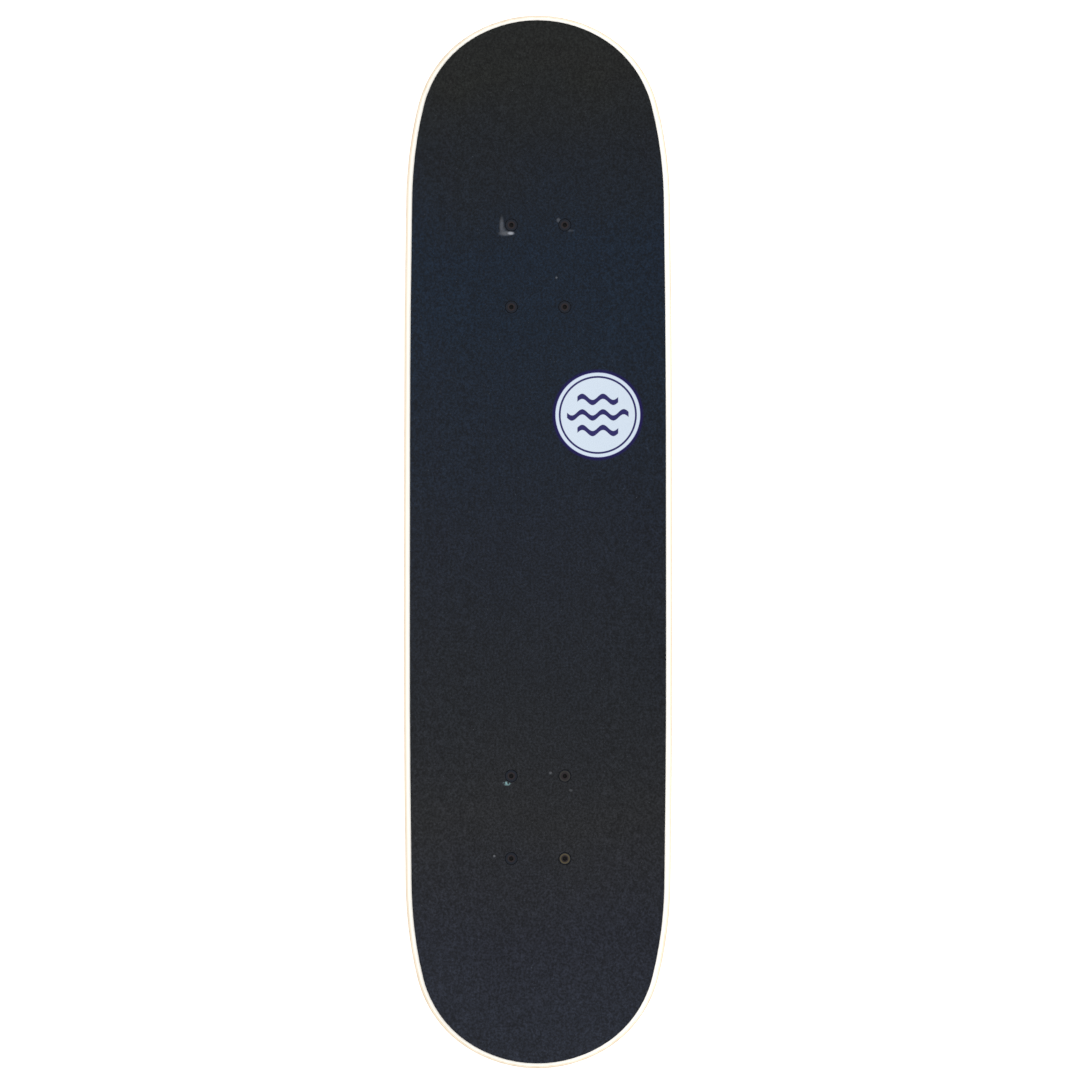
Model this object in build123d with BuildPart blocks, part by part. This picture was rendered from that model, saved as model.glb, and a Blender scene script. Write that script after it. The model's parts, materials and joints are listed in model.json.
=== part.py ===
from build123d import *
import math
import os

os.makedirs("parts", exist_ok=True)

# A complete street skateboard. Frame: +X the nose, +Y the rider's left, +Z up,
# origin on the floor under the middle of the board, which stands on its wheels.

# ---------------------------------------------------------------- driving dimensions (mm)
deck_length = 800.0
deck_width = 206.4
ply_names = ("bottom", "2", "3", "4", "5", "6", "top")
ply_thickness = 1.6
edge_round = 4.5
flat_half_width = 34.0
concave_radius = 300.0
kick_start = 262.0
kick_radius = 110.0
kick_angle = 20.0
tip_radius, tip_sweep = 103.7, 28.7
corner_radius, corner_sweep = 86.6, 46.0
shoulder_radius, shoulder_sweep = 283.0, 14.4

grip_thickness = 0.8
grip_inset = 4.7
grip_end_reach = 0.3
badge_radius = 32.8
badge_x, badge_y = 97.4, -46.1

wheel_radius = 26.0
wheel_width = 32.0
tread_half_width = 9.0

truck_height = 53.0
pattern_x = 212.7
bolt_spacing_x, bolt_spacing_y = 63.5, 41.3
bolt_radius = 2.4
bolt_head_radius = 4.75
bolt_length = 25.4

plate_thickness = 6.0
kingpin_tilt = 20.0
steering_tilt = 30.0
ring_u, ring_w = -13.0, 36.0
pivot_u, pivot_w = 25.0, 14.0
axle_u = 9.0
kingpin_radius = 4.76
hanger_half_width = 63.0
axle_radius = 3.97
axle_half_length = 97.0

bearing_inner_radius = 4.0
bearing_outer_radius = 11.0
bearing_width = 7.0
ball_count = 7
ball_radius = 1.985
ball_circle = 7.5
race_groove = 2.07
spacer_length = 10.3
speed_washer = 1.0
fit_gap = 0.03

# ---------------------------------------------------------------- derived levels
deck_thickness = len(ply_names) * ply_thickness
axle_z = wheel_radius
mount_z = axle_z + truck_height
deck_top = mount_z + deck_thickness
half_length = deck_length / 2
half_width = deck_width / 2
axle_x = pattern_x + axle_u
wheel_y = hanger_half_width + speed_washer + bearing_width + spacer_length / 2
bearing_offset = (spacer_length + bearing_width) / 2
kick_rad = math.radians(kick_angle)
kick_end = kick_start + kick_radius * math.sin(kick_rad)
kick_rise = kick_radius * (1 - math.cos(kick_rad))

bolt_places = [
    (side * pattern_x + dx * bolt_spacing_x / 2, dy * bolt_spacing_y / 2)
    for side in (1, -1)
    for dx in (1, -1)
    for dy in (1, -1)
]

# Directions of the truck's two inclined lines, for the front truck, in X and Z.
kingpin_down = (-math.sin(math.radians(kingpin_tilt)), 0, -math.cos(math.radians(kingpin_tilt)))
steering_up = (math.cos(math.radians(steering_tilt)), 0, math.sin(math.radians(steering_tilt)))
ring_centre = (pattern_x + ring_u, 0, mount_z - ring_w)
pivot_centre = (pattern_x + pivot_u, 0, mount_z - pivot_w)


def on_kingpin(t):
    """A plane square to the kingpin, t mm from the ring's middle towards the nut."""
    origin = tuple(c + t * d for c, d in zip(ring_centre, kingpin_down))
    return Plane(origin=origin, x_dir=(0, 1, 0), z_dir=kingpin_down)


def on_steering(s):
    """A plane square to the steering line, s mm outboard and up from the pivot's middle."""
    origin = tuple(c + s * d for c, d in zip(pivot_centre, steering_up))
    return Plane(origin=origin, x_dir=(0, 1, 0), z_dir=steering_up)


def along(plane):
    """The plane whose Y runs along the given plane's normal, for a profile to revolve."""
    return Plane(origin=plane.origin, x_dir=plane.x_dir, z_dir=plane.x_dir.cross(plane.z_dir))


def turned(plane, points):
    """A solid of revolution about a plane's normal, from (radius, height) points."""
    with BuildPart() as body:
        with BuildSketch(along(plane)):
            with BuildLine():
                Polyline(*points, close=True)
            make_face()
        revolve(axis=Axis(plane.origin, plane.z_dir))
    return body.part


def wheel_station(side_x, side_y):
    """A plane at a wheel's middle whose normal points outboard along the axle."""
    return Plane(
        origin=(side_x * axle_x, side_y * wheel_y, axle_z),
        x_dir=(1, 0, 0),
        z_dir=(0, side_y, 0),
    )


# ---------------------------------------------------------------- deck
def deck_section(plane, above, below):
    """Half of the pressed section, between two offsets from the top surface."""
    reach = math.degrees(math.asin((half_width + 14 - flat_half_width) / concave_radius))
    with BuildSketch(plane) as section:
        with BuildLine():
            upper = CenterArc((flat_half_width, concave_radius), concave_radius + above, -90, reach)
            lower = CenterArc((flat_half_width, concave_radius), concave_radius + below, -90, reach)
            Line(upper @ 1, lower @ 1)
            Polyline(upper @ 0, (0, -above), (0, -below), lower @ 0)
        make_face()
        mirror(about=Plane.YZ)
    return section.sketch


def pressed_layer(above, below):
    """A layer of the pressed shape: flat middle, two kick bends, two raised ends."""
    middle = Plane(origin=(0, 0, deck_top), x_dir=(0, 1, 0), z_dir=(1, 0, 0))
    bend = Plane(origin=(kick_start, 0, deck_top), x_dir=(0, 1, 0), z_dir=(1, 0, 0))
    raised = Plane(
        origin=(kick_end, 0, deck_top + kick_rise),
        x_dir=(0, 1, 0),
        z_dir=(math.cos(kick_rad), 0, math.sin(kick_rad)),
    )
    hinge_line = Axis((kick_start, 0, deck_top + kick_radius), (0, -1, 0))
    with BuildPart() as layer:
        extrude(deck_section(middle, above, below), amount=kick_start)
        revolve(deck_section(bend, above, below), axis=hinge_line, revolution_arc=kick_angle)
        extrude(deck_section(raised, above, below), amount=130)
        mirror(about=Plane.YZ)
    return layer.part


def outline(inset, reach=0.0):
    """The deck's plan outline moved inwards by an inset, its ends reaching out a little more."""
    end = half_length - inset + reach
    radii = [tip_radius - inset, corner_radius - inset, shoulder_radius - inset]
    sweeps = [tip_sweep, corner_sweep, shoulder_sweep]
    side = half_width - inset
    centre = (end - radii[0], 0.0)
    angle = 0.0
    with BuildSketch() as plan:
        with BuildLine():
            for number, (radius, sweep) in enumerate(zip(radii, sweeps)):
                arc = CenterArc(centre, radius, angle, sweep)
                angle += sweep
                rad = math.radians(angle)
                joint = (centre[0] + radius * math.cos(rad), centre[1] + radius * math.sin(rad))
                if number < 2:
                    following = radii[number + 1]
                else:
                    following = (side - joint[1]) / (1 - math.sin(rad))
                centre = (joint[0] - following * math.cos(rad), joint[1] - following * math.sin(rad))
            last = CenterArc(centre, following, angle, 90 - angle)
            Polyline(last @ 1, (0, side), (0, 0), (end, 0))
        make_face()
        mirror(about=Plane.XZ)
        mirror(about=Plane.YZ)
    return plan.sketch


with BuildPart() as blank:
    add(pressed_layer(0, deck_thickness))
    with BuildSketch(Plane.XY):
        add(outline(0))
    extrude(amount=200, mode=Mode.INTERSECT)
    walls = [face for face in blank.faces() if abs(face.normal_at(face.center()).Z) < 0.01]
    rims = ShapeList(
        edge for wall in walls for edge in wall.edges() if abs(edge.tangent_at(0.5).Z) < 0.9
    )
    fillet(rims, edge_round)
    with BuildSketch(Plane.XY.offset(mount_z - 10)):
        with Locations(*bolt_places):
            Circle(bolt_radius + 0.2)
    extrude(amount=60, mode=Mode.SUBTRACT)
    sink = bolt_head_radius - bolt_radius
    cone = [(0, 1), (bolt_head_radius + 1.2, 1), (bolt_radius + 0.1, -sink - 0.15), (0, -sink)]
    for place in bolt_places:
        seat = Plane(origin=(place[0], place[1], deck_top))
        add(turned(seat, cone), mode=Mode.SUBTRACT)

plies = {}
for number, name in enumerate(ply_names):
    depth = deck_thickness - number * ply_thickness
    with BuildPart() as ply:
        add(blank.part)
        if number > 0:
            add(pressed_layer(depth, depth + 25), mode=Mode.SUBTRACT)
        if number < len(ply_names) - 1:
            add(pressed_layer(-25, depth - ply_thickness), mode=Mode.SUBTRACT)
    ply.part.label = "ply_" + name
    plies[name] = ply

with BuildPart() as griptape:
    add(pressed_layer(-grip_thickness, 0))
    with BuildSketch(Plane.XY):
        add(outline(grip_inset, grip_end_reach))
    extrude(amount=200, mode=Mode.INTERSECT)
    with BuildSketch(Plane.XY.offset(mount_z)):
        with Locations(*bolt_places):
            Circle(bolt_head_radius + 0.3)
        with Locations((badge_x, badge_y)):
            Circle(badge_radius + 0.05)
    extrude(amount=60, mode=Mode.SUBTRACT)
griptape.part.label = "griptape"

with BuildPart() as badge:
    add(pressed_layer(-grip_thickness, 0))
    with BuildSketch(Plane.XY.offset(mount_z)):
        with Locations((badge_x, badge_y)):
            Circle(badge_radius)
    extrude(amount=60, mode=Mode.INTERSECT)
badge.part.label = "badge"

# ---------------------------------------------------------------- deck bolts and nuts
head_top = 0.3
cone_depth = (bolt_head_radius - bolt_radius) / math.tan(math.radians(45))
with BuildPart() as mounting_bolts:
    for place in bolt_places:
        seat = Plane(origin=(place[0], place[1], deck_top))
        with BuildPart(mode=Mode.PRIVATE) as bolt:
            add(
                turned(
                    seat,
                    [
                        (0, head_top),
                        (bolt_head_radius - 0.3, head_top),
                        (bolt_head_radius, 0),
                        (bolt_radius, -cone_depth),
                        (bolt_radius, head_top - bolt_length + 0.8),
                        (bolt_radius - 0.8, head_top - bolt_length),
                        (0, head_top - bolt_length),
                    ],
                )
            )
            with BuildSketch(seat.offset(head_top)):
                RegularPolygon(1.6, 6, major_radius=False)
            extrude(amount=-2.0, mode=Mode.SUBTRACT)
        add(bolt.part)
mounting_bolts.part.label = "mounting_bolts"


def lock_nut(plane, flats, hex_height, collar_radius, collar_height, bore):
    """A hexagon nut with a round nylon-insert collar, growing along a plane's normal."""
    with BuildPart() as nut:
        with BuildSketch(plane):
            RegularPolygon(flats / 2, 6, major_radius=False)
        extrude(amount=hex_height)
        corner = flats / 2 / math.cos(math.radians(30))
        rounder = turned(
            plane,
            [
                (0, 0),
                (corner - 0.7, 0),
                (corner + 0.1, 0.8),
                (corner + 0.1, hex_height - 0.8),
                (corner - 0.7, hex_height),
                (0, hex_height),
            ],
        )
        add(rounder, mode=Mode.INTERSECT)
        with BuildSketch(plane.offset(hex_height)):
            Circle(collar_radius)
        extrude(amount=collar_height, taper=10)
        with BuildSketch(plane):
            Circle(bore)
        extrude(amount=hex_height + collar_height, mode=Mode.SUBTRACT)
    return nut.part


with BuildPart() as mounting_nuts:
    for place in bolt_places:
        under = Plane(
            origin=(place[0], place[1], mount_z - plate_thickness),
            x_dir=(1, 0, 0),
            z_dir=(0, 0, -1),
        )
        add(lock_nut(under, 9.5, 3.6, 4.3, 1.6, bolt_radius + fit_gap))
mounting_nuts.part.label = "mounting_nuts"

# ---------------------------------------------------------------- truck, front
# Stations along the kingpin, from the ring's middle towards the nut.
head_seat = -29.3
head_height = 5.5
boss_face = -18.0
ring_web = 2.5
ring_half = 5.5
washer_thickness = 2.0
bottom_bushing = (boss_face + washer_thickness, -ring_web)
top_bushing = (ring_web, 13.5)
nut_seat = top_bushing[1] + washer_thickness
kingpin_end = nut_seat + 11.0
bushing_radius = 12.3
cone_radius = 10.2

# Stations along the steering line, from the pivot's middle outwards.
cup_mouth = -8.0
cup_floor = 5.0
cup_radius = 9.5
nose_tip = 2.0
nose_radius = 5.5
cup_gap = 0.08

bolt_holes = bolt_places[:4]

with BuildPart() as baseplate_front:
    with BuildSketch(Plane.XY.offset(mount_z - plate_thickness)):
        with Locations((pattern_x, 0)):
            RectangleRounded(82, 57, 11)
        with Locations((pattern_x, 57 / 2 + 56), (pattern_x, -57 / 2 - 56)):
            Circle(59.5, mode=Mode.SUBTRACT)
    extrude(amount=plate_thickness)
    under_rim = baseplate_front.faces().sort_by(Axis.Z)[0].edges()
    fillet(under_rim, 2.0)
    # kingpin boss and pivot housing
    boss = [(0, boss_face), (12.4, boss_face), (13.4, boss_face - 1.0), (14.8, -42), (0, -42)]
    mouth = [(0, cup_mouth), (12.0, cup_mouth), (13.2, cup_mouth + 1.2)]
    housing = mouth + [(13.7, 5), (10.5, 9.5), (0, 9.5)]
    add(turned(on_kingpin(0), boss))
    add(turned(on_steering(0), housing))
    # keel rib along the plate, low between the boss and the housing
    with BuildSketch(Plane.XZ):
        with BuildLine():
            Polyline(
                (pattern_x - 35, mount_z - 2),
                (pattern_x - 35, mount_z - plate_thickness),
                (pattern_x - 15, mount_z - 16.5),
                (pattern_x - 5, mount_z - 15),
                (pattern_x + 4, mount_z - 9.5),
                (pattern_x + 16, mount_z - 8.5),
                (pattern_x + 26, mount_z - 8.5),
                (pattern_x + 26, mount_z - 2),
                close=True,
            )
        make_face()
    extrude(amount=3.0, both=True)
    # side ribs from the boss
    for side in (1, -1):
        with BuildSketch(Plane.YZ.offset(pattern_x - 5)):
            with BuildLine():
                Polyline(
                    (side * 21, mount_z - 2),
                    (side * 21, mount_z - plate_thickness),
                    (side * 12, mount_z - 14),
                    (side * 5, mount_z - 14),
                    (side * 5, mount_z - 2),
                    close=True,
                )
            make_face()
        extrude(amount=2.2, both=True)
    with BuildSketch(Plane.XY):
        with Locations((pattern_x, 0)):
            Rectangle(120, 90)
    extrude(amount=mount_z, mode=Mode.INTERSECT)
    # hexagon pocket and bore for the kingpin, seat for the lower washer
    with BuildSketch(on_kingpin(head_seat)):
        RegularPolygon(14.2 / 2 + 0.1, 6, major_radius=False)
    extrude(amount=-30, mode=Mode.SUBTRACT)
    with BuildSketch(on_kingpin(head_seat)):
        Circle(kingpin_radius + fit_gap)
    extrude(amount=20, mode=Mode.SUBTRACT)
    with BuildSketch(on_kingpin(boss_face)):
        Circle(bushing_radius + 5)
    extrude(amount=20, mode=Mode.SUBTRACT)
    # pocket for the pivot cup and room for its flange
    with BuildSketch(on_steering(cup_floor)):
        Circle(cup_radius + fit_gap)
    extrude(amount=-30, mode=Mode.SUBTRACT)
    with BuildSketch(on_steering(cup_mouth)):
        Circle(12.5)
    extrude(amount=-12, mode=Mode.SUBTRACT)
    # bolt holes with flat seats for the nuts
    with BuildSketch(Plane.XY.offset(mount_z - 30)):
        with Locations(*bolt_holes):
            Circle(bolt_radius + 0.25)
    extrude(amount=30, mode=Mode.SUBTRACT)
    with BuildSketch(Plane.XY.offset(mount_z - plate_thickness)):
        with Locations(*bolt_holes):
            Circle(6.4)
    extrude(amount=-20, mode=Mode.SUBTRACT)
baseplate_front.part.label = "baseplate_front"

with BuildPart() as pivot_cup_front:
    add(
        turned(
            on_steering(0),
            [
                (0, cup_floor),
                (cup_radius - 0.8, cup_floor),
                (cup_radius, cup_floor - 0.8),
                (cup_radius, cup_mouth),
                (cup_radius + 1.2, cup_mouth - 0.1),
                (cup_radius + 1.2, cup_mouth - 1.3),
                (nose_radius + 1.4, cup_mouth - 1.3),
                (nose_radius + cup_gap, cup_mouth + 0.2),
                (nose_radius + cup_gap, nose_tip - 3.0),
                (nose_radius + cup_gap - 2.2, nose_tip + cup_gap),
                (0, nose_tip + cup_gap),
            ],
        )
    )
pivot_cup_front.part.label = "pivot_cup_front"

with BuildPart() as kingpin_front:
    with BuildSketch(on_kingpin(head_seat)):
        RegularPolygon(14.2 / 2, 6, major_radius=False)
    extrude(amount=-head_height)
    with BuildSketch(on_kingpin(head_seat)):
        Circle(kingpin_radius)
    extrude(amount=kingpin_end - head_seat)
    chamfer(kingpin_front.edges().filter_by(GeomType.CIRCLE).sort_by(Axis.Z)[0], 0.9)
kingpin_front.part.label = "kingpin_front"

with BuildPart() as kingpin_nut_front:
    add(lock_nut(on_kingpin(nut_seat), 14.3, 6.6, 6.3, 2.2, kingpin_radius + fit_gap))
kingpin_nut_front.part.label = "kingpin_nut_front"

with BuildPart() as washer_bottom_front:
    add(
        turned(
            on_kingpin(boss_face),
            [
                (kingpin_radius + 0.2, 0),
                (bushing_radius + 0.7, 0),
                (bushing_radius + 1.1, 0.4),
                (bushing_radius + 1.1, 3.6),
                (bushing_radius + 0.25, 3.6),
                (bushing_radius + 0.25, washer_thickness),
                (kingpin_radius + 0.2, washer_thickness),
            ],
        )
    )
washer_bottom_front.part.label = "washer_bottom_front"

with BuildPart() as washer_top_front:
    add(
        turned(
            on_kingpin(nut_seat),
            [
                (kingpin_radius + 0.2, 0),
                (cone_radius + 0.9, 0),
                (cone_radius + 1.3, -0.5),
                (cone_radius + 1.3, -3.4),
                (cone_radius + 0.3, -3.4),
                (cone_radius + 0.3, -washer_thickness),
                (kingpin_radius + 0.2, -washer_thickness),
            ],
        )
    )
washer_top_front.part.label = "washer_top_front"

with BuildPart() as bushing_bottom_front:
    low, high = bottom_bushing
    add(
        turned(
            on_kingpin(0),
            [
                (kingpin_radius + 0.15, low),
                (bushing_radius - 0.6, low),
                (bushing_radius, low + 0.6),
                (bushing_radius, low + 2.4),
                (bushing_radius + 0.7, (low + high) / 2 - 1.5),
                (bushing_radius + 0.7, (low + high) / 2),
                (bushing_radius, high - 3.6),
                (bushing_radius, high - 0.6),
                (bushing_radius - 0.6, high),
                (kingpin_radius + 0.15, high),
            ],
        )
    )
bushing_bottom_front.part.label = "bushing_bottom_front"

with BuildPart() as bushing_top_front:
    low, high = top_bushing
    add(
        turned(
            on_kingpin(0),
            [
                (kingpin_radius + 0.15, low),
                (bushing_radius - 0.6, low),
                (bushing_radius, low + 0.6),
                (bushing_radius, low + 4.2),
                (cone_radius, high - 2.0),
                (cone_radius, high - 0.5),
                (cone_radius - 0.5, high),
                (kingpin_radius + 0.15, high),
            ],
        )
    )
bushing_top_front.part.label = "bushing_top_front"

# The hanger: a ring round the kingpin, a beam round the axle, and the pivot nose.
beam_radius = 10.4
beam_end_radius = 7.2
ring_radius = 18.4
ring_to_axle = math.hypot(axle_u - ring_u, truck_height - ring_w) * math.cos(
    math.atan2(truck_height - ring_w, axle_u - ring_u) - math.radians(kingpin_tilt)
)
axle_line = Plane(origin=(axle_x, 0, axle_z), x_dir=(1, 0, 0), z_dir=(0, 1, 0))
with BuildPart() as hanger_front:
    # beam round the axle, slimmer towards the wheels
    with BuildSketch(Plane.XY.offset(axle_z)):
        for side in (1, -1):
            with BuildLine():
                middle = Line((axle_x + beam_radius, 0), (axle_x + beam_radius, side * 10))
                narrow = (axle_x + beam_radius - 1.0, side * 30)
                taper = TangentArc(middle @ 1, narrow, tangent=(0, side))
                Polyline(
                    taper @ 1,
                    (axle_x + beam_end_radius, side * 52),
                    (axle_x + beam_end_radius, side * (hanger_half_width - 1.2)),
                    (axle_x + beam_end_radius - 1.2, side * hanger_half_width),
                    (axle_x, side * hanger_half_width),
                    (axle_x, 0),
                    middle @ 0,
                )
            make_face()
    revolve(axis=Axis((axle_x, 0, axle_z), (0, 1, 0)))
    # ring round the kingpin, and the plate that carries it to the beam
    edge = 1.4
    add(
        turned(
            on_kingpin(0),
            [
                (0, -ring_half),
                (ring_radius - edge, -ring_half),
                (ring_radius, -ring_half + edge),
                (ring_radius, ring_half - edge),
                (ring_radius - edge, ring_half),
                (0, ring_half),
            ],
        )
    )
    with BuildSketch(on_kingpin(-ring_half + 1)):
        Circle(ring_radius - 1.0)
        with Locations((0, ring_to_axle - 5.5)):
            Rectangle(46, 4)
        make_hull()
    extrude(amount=2 * ring_half - 2)
    # pivot nose, turned about the steering line
    add(
        turned(
            on_steering(0),
            [
                (0, nose_tip),
                (nose_radius - 2.2, nose_tip),
                (nose_radius, nose_tip - 3.0),
                (nose_radius, cup_mouth - 1.5),
                (nose_radius + 1.2, cup_mouth - 3.5),
                (10.6, cup_mouth - 15.0),
                (10.6, cup_mouth - 21.0),
                (0, cup_mouth - 21.0),
            ],
        )
    )
    # upright web between the beam and the nose, and the spine behind it
    with BuildSketch(Plane(origin=(axle_x, 0, axle_z), x_dir=(0, 1, 0), z_dir=(1, 0, 0))):
        with BuildLine():
            left = ThreePointArc((-10, 27), (-17, 14), (-40, 5))
            right = ThreePointArc((10, 27), (17, 14), (40, 5))
            Polyline(left @ 0, right @ 0)
            Polyline(left @ 1, (-40, 0), (40, 0), right @ 1)
        make_face()
    extrude(amount=5.5, both=True, taper=12)
    with BuildSketch(Plane.XZ):
        with BuildLine():
            Polyline(
                (pattern_x - 4, mount_z - 33),
                (pattern_x + 6, mount_z - 22),
                (axle_x + 6, axle_z + 26),
                (axle_x + 7, axle_z),
                (axle_x - 12, axle_z + 2),
                (pattern_x - 4, mount_z - 44),
                close=True,
            )
        make_face()
    extrude(amount=8.0, both=True)
    # bushing seats on both sides of the ring, and room round the bushings
    with BuildSketch(on_kingpin(ring_web)):
        Circle(bushing_radius + 0.08)
    extrude(amount=30, mode=Mode.SUBTRACT)
    with BuildSketch(on_kingpin(-ring_web)):
        Circle(bushing_radius + 0.08)
    extrude(amount=-20, mode=Mode.SUBTRACT)
    with BuildSketch(on_kingpin(-ring_half)):
        Circle(16.3)
    extrude(amount=-30, mode=Mode.SUBTRACT)
    with BuildSketch(on_kingpin(ring_half)):
        Circle(15.0)
    extrude(amount=30, mode=Mode.SUBTRACT)
    with BuildSketch(on_kingpin(-ring_web)):
        Circle(7.6)
    extrude(amount=2 * ring_web, mode=Mode.SUBTRACT)
    with BuildSketch(axle_line.offset(-axle_half_length)):
        Circle(axle_radius + fit_gap)
    extrude(amount=2 * axle_half_length, mode=Mode.SUBTRACT)
hanger_front.part.label = "hanger_front"

with BuildPart() as axle_front:
    for side in (1, -1):
        middle = Plane(origin=(axle_x, 0, axle_z), x_dir=(1, 0, 0), z_dir=(0, side, 0))
        add(
            turned(
                middle,
                [
                    (0, 0),
                    (axle_radius, 0),
                    (axle_radius, axle_half_length - 0.8),
                    (axle_radius - 0.8, axle_half_length),
                    (0, axle_half_length),
                ],
            )
        )
axle_front.part.label = "axle_front"

# Stations along the axle, from the hanger's end outwards.
first_washer = hanger_half_width
wheel_washer = wheel_y + bearing_offset + bearing_width / 2
nut_face = wheel_washer + speed_washer

with BuildPart() as axle_nuts_front:
    for side in (1, -1):
        face = Plane(origin=(axle_x, side * nut_face, axle_z), x_dir=(1, 0, 0), z_dir=(0, side, 0))
        add(lock_nut(face, 12.7, 4.8, 5.5, 1.8, axle_radius + fit_gap))
axle_nuts_front.part.label = "axle_nuts_front"


def tube(plane, inner, outer, length):
    """A plain round tube growing along a plane's normal."""
    with BuildPart() as body:
        with BuildSketch(plane):
            Circle(outer)
            Circle(inner, mode=Mode.SUBTRACT)
        extrude(amount=length)
    return body.part


with BuildPart() as speed_washers_front:
    for side in (1, -1):
        for start in (first_washer, wheel_washer):
            face = Plane(origin=(axle_x, side * start, axle_z), x_dir=(1, 0, 0), z_dir=(0, side, 0))
            add(tube(face, axle_radius + fit_gap, 6.0, speed_washer))
speed_washers_front.part.label = "speed_washers_front"

with BuildPart() as bearing_spacers_front:
    for side in (1, -1):
        start = wheel_y - spacer_length / 2
        face = Plane(origin=(axle_x, side * start, axle_z), x_dir=(1, 0, 0), z_dir=(0, side, 0))
        add(tube(face, axle_radius + 0.06, 5.6, spacer_length))
bearing_spacers_front.part.label = "bearing_spacers_front"

# ---------------------------------------------------------------- ball bearings
half_bearing = bearing_width / 2
inner_shoulder = 6.05
outer_shoulder = 9.1
shield_seat = 9.75


def bearing_planes(side_x, side_y):
    """The middles of a wheel's two bearings, each with its normal pointing out of the wheel."""
    hub = wheel_station(side_x, side_y)
    out = hub.offset(bearing_offset)
    back = hub.offset(-bearing_offset)
    return [out, Plane(origin=back.origin, x_dir=back.x_dir, z_dir=-back.z_dir)]


def grooved(plane, ring):
    """A bearing ring with the balls' groove cut into it."""
    with BuildPart() as race:
        add(ring)
        with BuildSketch(along(plane)):
            with Locations((ball_circle, 0)):
                Circle(race_groove)
        revolve(axis=Axis(plane.origin, plane.z_dir), mode=Mode.SUBTRACT)
    return race.part


def inner_race(plane):
    """The ring that sits still on the axle."""
    bore = bearing_inner_radius
    ring = turned(
        plane,
        [
            (bore, -half_bearing + 0.3),
            (bore + 0.3, -half_bearing),
            (inner_shoulder, -half_bearing),
            (inner_shoulder, half_bearing),
            (bore + 0.3, half_bearing),
            (bore, half_bearing - 0.3),
        ],
    )
    return grooved(plane, ring)


def outer_race(plane):
    """The ring that turns with the wheel, stepped at both ends for its shields."""
    rim = bearing_outer_radius
    ring = turned(
        plane,
        [
            (outer_shoulder, -half_bearing + 0.7),
            (shield_seat, -half_bearing + 0.7),
            (shield_seat, -half_bearing),
            (rim - 0.4, -half_bearing),
            (rim, -half_bearing + 0.4),
            (rim, half_bearing - 0.4),
            (rim - 0.4, half_bearing),
            (shield_seat, half_bearing),
            (shield_seat, half_bearing - 0.7),
            (outer_shoulder, half_bearing - 0.7),
        ],
    )
    return grooved(plane, ring)


def ball_set(plane):
    """The seven balls of one bearing."""
    with BuildPart() as balls:
        with Locations(plane):
            with PolarLocations(ball_circle, ball_count):
                Sphere(ball_radius)
    return balls.part


def cage(plane):
    """A crown cage: a ring behind the balls with a pocket round each ball."""
    with BuildPart() as crown:
        with BuildSketch(plane.offset(-1.0)):
            Circle(ball_circle + 0.6)
            Circle(ball_circle - 0.6, mode=Mode.SUBTRACT)
        extrude(amount=3.4)
        with Locations(plane):
            with PolarLocations(ball_circle, ball_count):
                Sphere(ball_radius + 0.04, mode=Mode.SUBTRACT)
    return crown.part


def shields(plane):
    """The two thin seals in one bearing's outer ring."""
    with BuildPart() as pair:
        for start in (half_bearing - 0.65, -half_bearing + 0.15):
            add(tube(plane.offset(start), 6.45, shield_seat - 0.02, 0.5))
    return pair.part


with BuildPart() as inner_races_front:
    for side in (1, -1):
        for plane in bearing_planes(1, side):
            add(inner_race(plane))
inner_races_front.part.label = "inner_races_front"

# ---------------------------------------------------------------- wheels
wheel_profile = [
    (bearing_outer_radius, spacer_length / 2),
    (bearing_outer_radius, spacer_length / 2 + bearing_width - 0.2),
    (bearing_outer_radius + 0.6, spacer_length / 2 + bearing_width + 0.6),
    (13.2, wheel_width / 2 - 1.0),
    (14.2, wheel_width / 2),
    (18.0, wheel_width / 2),
]


def wheel(side_x, side_y):
    """A solid urethane wheel with two bearing seats and a ledge between them."""
    hub = wheel_station(side_x, side_y)
    with BuildPart() as body:
        with BuildSketch(along(hub)):
            with BuildLine():
                for way in (1, -1):
                    points = [(r, way * h) for r, h in wheel_profile]
                    Polyline((9.4, way * 0), (9.4, way * spacer_length / 2), *points)
                    shoulder = (wheel_radius, way * tread_half_width)
                    Spline(points[-1], shoulder, tangents=[(1, 0), (0, -way)])
                Line((wheel_radius, tread_half_width), (wheel_radius, -tread_half_width))
            make_face()
        revolve(axis=Axis(hub.origin, hub.z_dir))
    return body.part


corners = {
    "front_left": (1, 1),
    "front_right": (1, -1),
    "rear_left": (-1, 1),
    "rear_right": (-1, -1),
}
wheels, outer_races, balls, cages, seals = {}, {}, {}, {}, {}
for corner, (side_x, side_y) in corners.items():
    with BuildPart() as wheels[corner]:
        add(wheel(side_x, side_y))
    with BuildPart() as outer_races[corner]:
        for plane in bearing_planes(side_x, side_y):
            add(outer_race(plane))
    with BuildPart() as balls[corner]:
        for plane in bearing_planes(side_x, side_y):
            add(ball_set(plane))
    with BuildPart() as cages[corner]:
        for plane in bearing_planes(side_x, side_y):
            add(cage(plane))
    with BuildPart() as seals[corner]:
        for plane in bearing_planes(side_x, side_y):
            add(shields(plane))
    wheels[corner].part.label = "wheel_" + corner
    outer_races[corner].part.label = "outer_races_" + corner
    balls[corner].part.label = "balls_" + corner
    cages[corner].part.label = "cages_" + corner
    seals[corner].part.label = "shields_" + corner

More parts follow.
